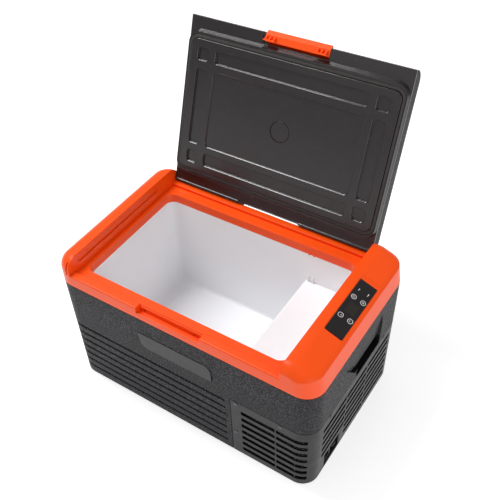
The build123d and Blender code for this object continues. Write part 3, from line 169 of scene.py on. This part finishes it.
def speckled(name, colour, spark, size=620.0, depth=0.0005):
    """Coarse pebbled plastic: raised grains over a darker ground, with a painted glint (the lighter spark
    colour) on the grain tops and a painted highlight on edges.
    """
    g = Graph(name)
    pebbles = g.cells(size, "SMOOTH_F1")
    fleck = g.noise(size * 0.8, 2.0, 0.6)
    raised = g.maths("ADD", g.ramp(pebbles, 0.0, 0.75, 1.0, 0.0), g.maths("MULTIPLY", fleck, 0.9))
    # painted glint: the lighter spark colour laid where the grains are raised
    glint_mask = g.ramp(fleck, 0.52, 0.66)
    drift = g.ramp(g.noise(7.0, 3.0, 0.5), 0.35, 0.65)
    ground = g.mix(drift, shaded(colour, 0.93), shaded(colour, 1.07))
    base = g.mix(g.maths("MULTIPLY", glint_mask, 0.85), ground, spark)
    # painted highlight: edges lightened towards a brighter spark colour
    edge_glint_mask = g.maths("MULTIPLY", g.edge_mask(0.0012), 0.35)
    g.link(g.mix(edge_glint_mask, base, shaded(spark, 1.25)), g.shader.inputs["Base Color"])
    g.link(g.ramp(fleck, 0.35, 0.7, 0.62, 0.38), g.shader.inputs["Roughness"])
    g.link(g.bump(raised, depth, g.soft_normal(0.001)), g.shader.inputs["Normal"])
    g.shader.inputs["Specular IOR Level"].default_value = 0.20
    return g.material


def metal(name, colour, rough, brushed=(1.0, 1.0, 14.0), scale=160.0):
    """Worked metal with drawn marks and duller patches."""
    g = Graph(name)
    marks = g.noise(scale, 4.0, 0.6, brushed)
    patches = g.noise(24.0, 4.0, 0.6)
    base = g.mix(g.ramp(patches, 0.35, 0.7), shaded(colour, 0.82), colour)
    # painted highlight: edges lightened to a brighter copy of the metal colour
    base = g.mix(g.maths("MULTIPLY", g.edge_mask(0.0005), 0.5), base, shaded(colour, 1.2))
    g.link(base, g.shader.inputs["Base Color"])
    g.link(g.ramp(marks, 0.3, 0.7, rough - 0.08, rough + 0.12), g.shader.inputs["Roughness"])
    g.link(g.bump(marks, 0.00004, g.soft_normal(0.0004)), g.shader.inputs["Normal"])
    g.shader.inputs["Metallic"].default_value = 1.0
    return g.material


def foam_material(name, colour):
    """Closed-cell foam with a cellular skin."""
    g = Graph(name)
    cells = g.cells(700.0)
    g.link(g.mix(g.ramp(cells, 0.1, 0.7), shaded(colour, 0.86), colour), g.shader.inputs["Base Color"])
    g.link(g.ramp(cells, 0.0, 0.8, 0.7, 0.95), g.shader.inputs["Roughness"])
    g.link(g.bump(cells, 0.0003), g.shader.inputs["Normal"])
    return g.material


def board_material(name, colour, trace):
    """Circuit laminate with a faint pattern of tracks under the lacquer."""
    g = Graph(name)
    tracks = g.add("ShaderNodeTexBrick")
    tracks.inputs["Scale"].default_value = 120.0
    tracks.inputs["Mortar Size"].default_value = 0.03
    g.link(g.place, tracks.inputs["Vector"])
    g.link(g.mix(tracks.outputs["Fac"], colour, trace), g.shader.inputs["Base Color"])
    g.link(g.ramp(g.noise(80.0), 0.3, 0.7, 0.25, 0.4), g.shader.inputs["Roughness"])
    g.link(g.bump(tracks.outputs["Fac"], 0.00005), g.shader.inputs["Normal"])
    return g.material


# ---------------------------------------------------------------- materials by slot
CHARCOAL = (0.0028, 0.0025, 0.0034)
SPARK = (0.086, 0.078, 0.095)
BLACK = (0.0135, 0.0105, 0.0115)
ORANGE = (0.98, 0.086, 0.004)
WHITE = (0.925, 0.94, 0.96)

SLOT_MATERIALS = {
    "shell": speckled("shell_grain", CHARCOAL, SPARK),
    # handle recess: shell ground and sparks darkened as painted shade; the finer, shallower grain is the
    # recess's own
    "shell_handle": speckled("handle_painted_shade", shaded(CHARCOAL, 0.6), shaded(SPARK, 0.35), size=760.0,
                             depth=0.0002),
    "cover": plastic("cover_plastic", (0.0082, 0.0076, 0.0092), rough=0.42, grain_scale=1400.0,
                     grain_depth=0.00005, specular=0.32),
    "screw": metal("screw_steel", (0.16, 0.16, 0.17), 0.38),
    "pan": plastic("pan_paint", (0.06, 0.06, 0.065), rough=0.5, grain_scale=500.0, grain_depth=0.00008),
    "foot": plastic("foot_rubber", (0.02, 0.02, 0.02), rough=0.75, grain_scale=700.0, grain_depth=0.0001,
                    specular=0.3),
    "badge": plastic("badge_plastic", (0.013, 0.0125, 0.0150), rough=0.34, grain_scale=1600.0,
                     grain_depth=0.00002, specular=0.4),
    "collar": plastic("collar_orange", ORANGE, rough=0.34, gloss_swing=0.04, grain_scale=1500.0,
                      grain_depth=0.00001, mottle=0.02, round_edge=0.0005, edge_highlight=1.1, specular=0.30),
    "liner": plastic("liner_white", WHITE, rough=0.38, grain_scale=1200.0, grain_depth=0.00002, mottle=0.01,
                     round_edge=0.0015, edge_highlight=1.0),
    "foam": foam_material("rigid_foam", (0.86, 0.78, 0.55)),
    "copper": metal("copper_tube", (0.80, 0.42, 0.27), 0.3),
    "sheet": metal("galvanised_sheet", (0.55, 0.56, 0.58), 0.4, (1.0, 1.0, 1.0), 60.0),
    "compressor": plastic("compressor_enamel", (0.012, 0.012, 0.013), rough=0.25, grain_scale=260.0,
                          grain_depth=0.00008, coat=0.4),
    "fins": metal("fin_aluminium", (0.62, 0.60, 0.57), 0.35),
    "fan": plastic("fan_plastic", (0.018, 0.018, 0.02), rough=0.4, grain_scale=1500.0),
    "board": board_material("circuit_board", (0.02, 0.10, 0.05), (0.05, 0.22, 0.11)),
    "socket": plastic("socket_plastic", (0.012, 0.012, 0.013), rough=0.36, grain_scale=1800.0),
    "pins": metal("plated_steel", (0.62, 0.61, 0.58), 0.25),
    "panel": plastic("panel_gloss", (0.013, 0.011, 0.012), rough=0.22, gloss_swing=0.03, grain_depth=0.000004,
                     mottle=0.1, specular=0.4),
    "window": plastic("window_smoked", (0.021, 0.016, 0.013), rough=0.20, gloss_swing=0.02, grain_depth=0.000002,
                      mottle=0.3, specular=0.4),
    "key": plastic("key_gloss", (0.015, 0.013, 0.014), rough=0.24, gloss_swing=0.04, grain_depth=0.000004,
                   specular=0.4),
    "print": plastic("printed_marks", (0.62, 0.61, 0.60), rough=0.45, grain_scale=2200.0, grain_depth=0.000004,
                     mottle=0.03, round_edge=0.00002, edge_highlight=1.0),
    # lining edges painted much lighter, as a highlight on the pocket rims and steps
    "lining": plastic("lining_satin", BLACK, rough=0.24, gloss_swing=0.04, grain_scale=1700.0,
                      grain_depth=0.000012, round_edge=0.0005, edge_highlight=1.6, coat=0.35, coat_rough=0.18),
    "gasket": plastic("gasket_seal", (0.032, 0.028, 0.026), rough=0.5, grain_scale=900.0, grain_depth=0.00006,
                      round_edge=0.0006),
}

for entry in frame["record"]["subparts"]:
    node = NODES[entry["node"]]
    node.data.materials.clear()
    node.data.materials.append(SLOT_MATERIALS[entry["material_slot"]])


# ---------------------------------------------------------------- printed marks on the console
MM = 0.001
PRINT_LIFT, PRINT_SINK = 0.04 * MM, 0.02 * MM
FACE_TOLERANCE = 0.02 * MM


def front_face(name):
    """Centre and axes (down the slope, along the console, outward) of a console node's outer face."""
    node = NODES[name]
    turn = node.matrix_world.to_3x3()
    slope = max((p for p in node.data.polygons if (turn @ p.normal).z > 0.5), key=lambda p: p.area)
    out = (turn @ slope.normal).normalized()
    level = max((node.matrix_world @ v.co).dot(out) for v in node.data.vertices)
    rim = [node.matrix_world @ v.co for v in node.data.vertices
           if (node.matrix_world @ v.co).dot(out) > level - FACE_TOLERANCE]
    low = Vector([min(c[k] for c in rim) for k in range(3)])
    high = Vector([max(c[k] for c in rim) for k in range(3)])
    along = Vector((0.0, 1.0, 0.0))
    return (low + high) / 2, along.cross(out), along, out


def printed(name, body, place, outlines):
    """Thin raised print riding on a body, from closed loops of (down, along) points in metres.

    An outline is one loop, or a pair of loops for the inner and outer edge of a ring.
    """
    centre, down, along, out = place
    mesh = bmesh.new()

    def laid(loop, lift):
        return [mesh.verts.new(centre + down * u + along * v + out * lift) for u, v in loop]

    def joined(first, second):
        for k in range(len(first)):
            mesh.faces.new((first[k - 1], first[k], second[k], second[k - 1]))

    for outline in outlines:
        loops = outline if isinstance(outline, tuple) else (outline,)
        low, high = ([laid(loop, lift) for loop in loops] for lift in (-PRINT_SINK, PRINT_LIFT))
        for foot, crest in zip(low, high):
            joined(foot, crest)
        if len(loops) == 2:
            joined(*high)
            joined(*low)
        else:
            mesh.faces.new(high[0])
            mesh.faces.new(low[0])
    bmesh.ops.recalc_face_normals(mesh, faces=mesh.faces[:])
    data = bpy.data.meshes.new(name)
    mesh.to_mesh(data)
    mesh.free()
    data.materials.append(SLOT_MATERIALS["print"])
    obj = bpy.data.objects.new(name, data)
    bpy.context.scene.collection.objects.link(obj)
    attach(obj, body)


def polar(radius, start=0, end=360, count=48):
    """Points of an arc from start to end degrees; a full turn leaves out the repeated last point."""
    steps = count if end - start >= 360 else count + 1
    turns = [math.radians(start + (end - start) * k / count) for k in range(steps)]
    return [(radius * math.cos(a), radius * math.sin(a)) for a in turns]


def arc_band(inner, outer, start, end, count=24):
    """One closed loop round an open arc of a ring."""
    return polar(inner, start, end, count) + polar(outer, start, end, count)[::-1]


RING = (polar(4.3 * MM), polar(5.5 * MM))
RAY_FOOT, RAY_TIP, RAY_HALF_ANGLE = 1.8 * MM, 2.9 * MM, 0.2
RAYS = [[(radius * math.cos(a + turn), radius * math.sin(a + turn))
         for radius, turn in ((RAY_FOOT, -RAY_HALF_ANGLE), (RAY_TIP, 0.0), (RAY_FOOT, RAY_HALF_ANGLE))]
        for a in [math.radians(45 * k) for k in range(8)]]
KEY_MARKS = {
    "key_power": [arc_band(1.7 * MM, 2.5 * MM, 35, 325),
                  [(-0.3 * MM, -0.3 * MM), (2.8 * MM, -0.3 * MM), (2.8 * MM, 0.3 * MM), (-0.3 * MM, 0.3 * MM)]],
    "key_mode": [polar(1.4 * MM, count=12)] + RAYS,
    "key_up": [[(0.9 * MM, 0.0), (-2.0 * MM, 1.5 * MM), (-2.0 * MM, -1.5 * MM)]],
    "key_down": [[(2.0 * MM, -1.5 * MM), (2.0 * MM, 1.5 * MM), (-0.9 * MM, 0.0)]],
}
KEY_BODIES = {node: body for body, nodes in frame["record"]["behaviour"]["bodies"].items() for node in nodes}
for key, marks in KEY_MARKS.items():
    printed(key + "_print", KEY_BODIES[key], front_face(key), [RING] + marks)


def bar(u, v, length, width):
    """Upright rectangle centred on (u, v)."""
    half, side = length / 2, width / 2
    return [(u - side, v - half), (u + side, v - half), (u + side, v + half), (u - side, v + half)]


printed("panel_print", KEY_BODIES["control_panel"], front_face("control_panel"),
        [bar(-9.3 * MM, 45.5 * MM, 6.0 * MM, 0.9 * MM), bar(-8.2 * MM, 46.5 * MM, 2.2 * MM, 0.9 * MM),
         bar(9.7 * MM, 46.5 * MM, 8.0 * MM, 0.8 * MM), bar(10.8 * MM, 47.5 * MM, 4.0 * MM, 0.8 * MM)])


# ---------------------------------------------------------------- floor, light, camera
def floor_material():
    """Pale satin floor with a slight glow of its own."""
    g = Graph("floor_white")
    g.link(g.mix(g.ramp(g.noise(3.0), 0.3, 0.7), (0.70, 0.70, 0.703), (0.72, 0.72, 0.723)),
           g.shader.inputs["Base Color"])
    g.link(g.ramp(g.noise(20.0), 0.3, 0.7, 0.16, 0.22), g.shader.inputs["Roughness"])
    g.shader.inputs["Specular IOR Level"].default_value = 0.5
    g.shader.inputs["Emission Color"].default_value = (1.0, 1.0, 1.0, 1.0)
    g.shader.inputs["Emission Strength"].default_value = 0.66
    return g.material


def flat_plane(name, half, material):
    """Square sheet on the ground, reaching half to each side."""
    mesh = bpy.data.meshes.new(name)
    sheet = bmesh.new()
    bmesh.ops.create_grid(sheet, x_segments=1, y_segments=1, size=half)
    sheet.to_mesh(mesh)
    sheet.free()
    mesh.materials.append(material)
    obj = bpy.data.objects.new(name, mesh)
    bpy.context.scene.collection.objects.link(obj)
    return obj


FLOOR_HALF = 12.0
flat_plane("floor", FLOOR_HALF, floor_material())


def area_light(name, position, target, size, power):
    """Rectangular softbox facing its target; size in metres, power in watts."""
    light = bpy.data.lights.new(name, "AREA")
    light.shape = "RECTANGLE"
    light.size, light.size_y = size
    light.energy = power
    obj = bpy.data.objects.new(name, light)
    obj.location = position
    direction = Vector(target) - Vector(position)
    obj.rotation_euler = direction.to_track_quat("-Z", "Y").to_euler()
    bpy.context.scene.collection.objects.link(obj)


CENTRE = (0.0, 0.0, 0.2)
area_light("top_softbox", (0.0, 0.1, 2.4), CENTRE, (2.2, 1.6), 3.0)
area_light("overhead_key", (-0.95, 0.0, 2.1), (0.0, 0.2, 0.4), (0.6, 1.0), 32.0)
area_light("front_softbox", (-0.5, -2.2, 1.2), CENTRE, (1.4, 1.0), 2.0)
area_light("right_softbox", (1.9, -0.5, 0.9), CENTRE, (1.2, 1.2), 10.0)

bpy.context.scene.view_settings.view_transform = "Standard"
world = bpy.data.worlds.new("studio")
bpy.context.scene.world = world
world.use_nodes = True
world.node_tree.nodes["Background"].inputs["Color"].default_value = (1.0, 1.0, 1.0, 1.0)
world.node_tree.nodes["Background"].inputs["Strength"].default_value = 0.34


def studio_camera():
    """Long lens above the front right corner, aimed down into the open tub."""
    camera = bpy.data.cameras.new("camera")
    camera.sensor_width = 36.0
    camera.lens = 54.24
    camera.shift_x = 0.1027
    camera.shift_y = 0.0169
    obj = bpy.data.objects.new("camera", camera)
    right = Vector((0.81805, 0.57104, -0.06857))
    up = Vector((-0.35246, 0.59196, 0.72481))
    back = Vector((0.45449, -0.56877, 0.68552))
    turn = Matrix((right, up, back)).transposed().to_4x4()
    obj.matrix_world = Matrix.Translation((0.6138, -0.8559, 1.3245)) @ turn
    bpy.context.scene.collection.objects.link(obj)
    bpy.context.scene.camera = obj


studio_camera()
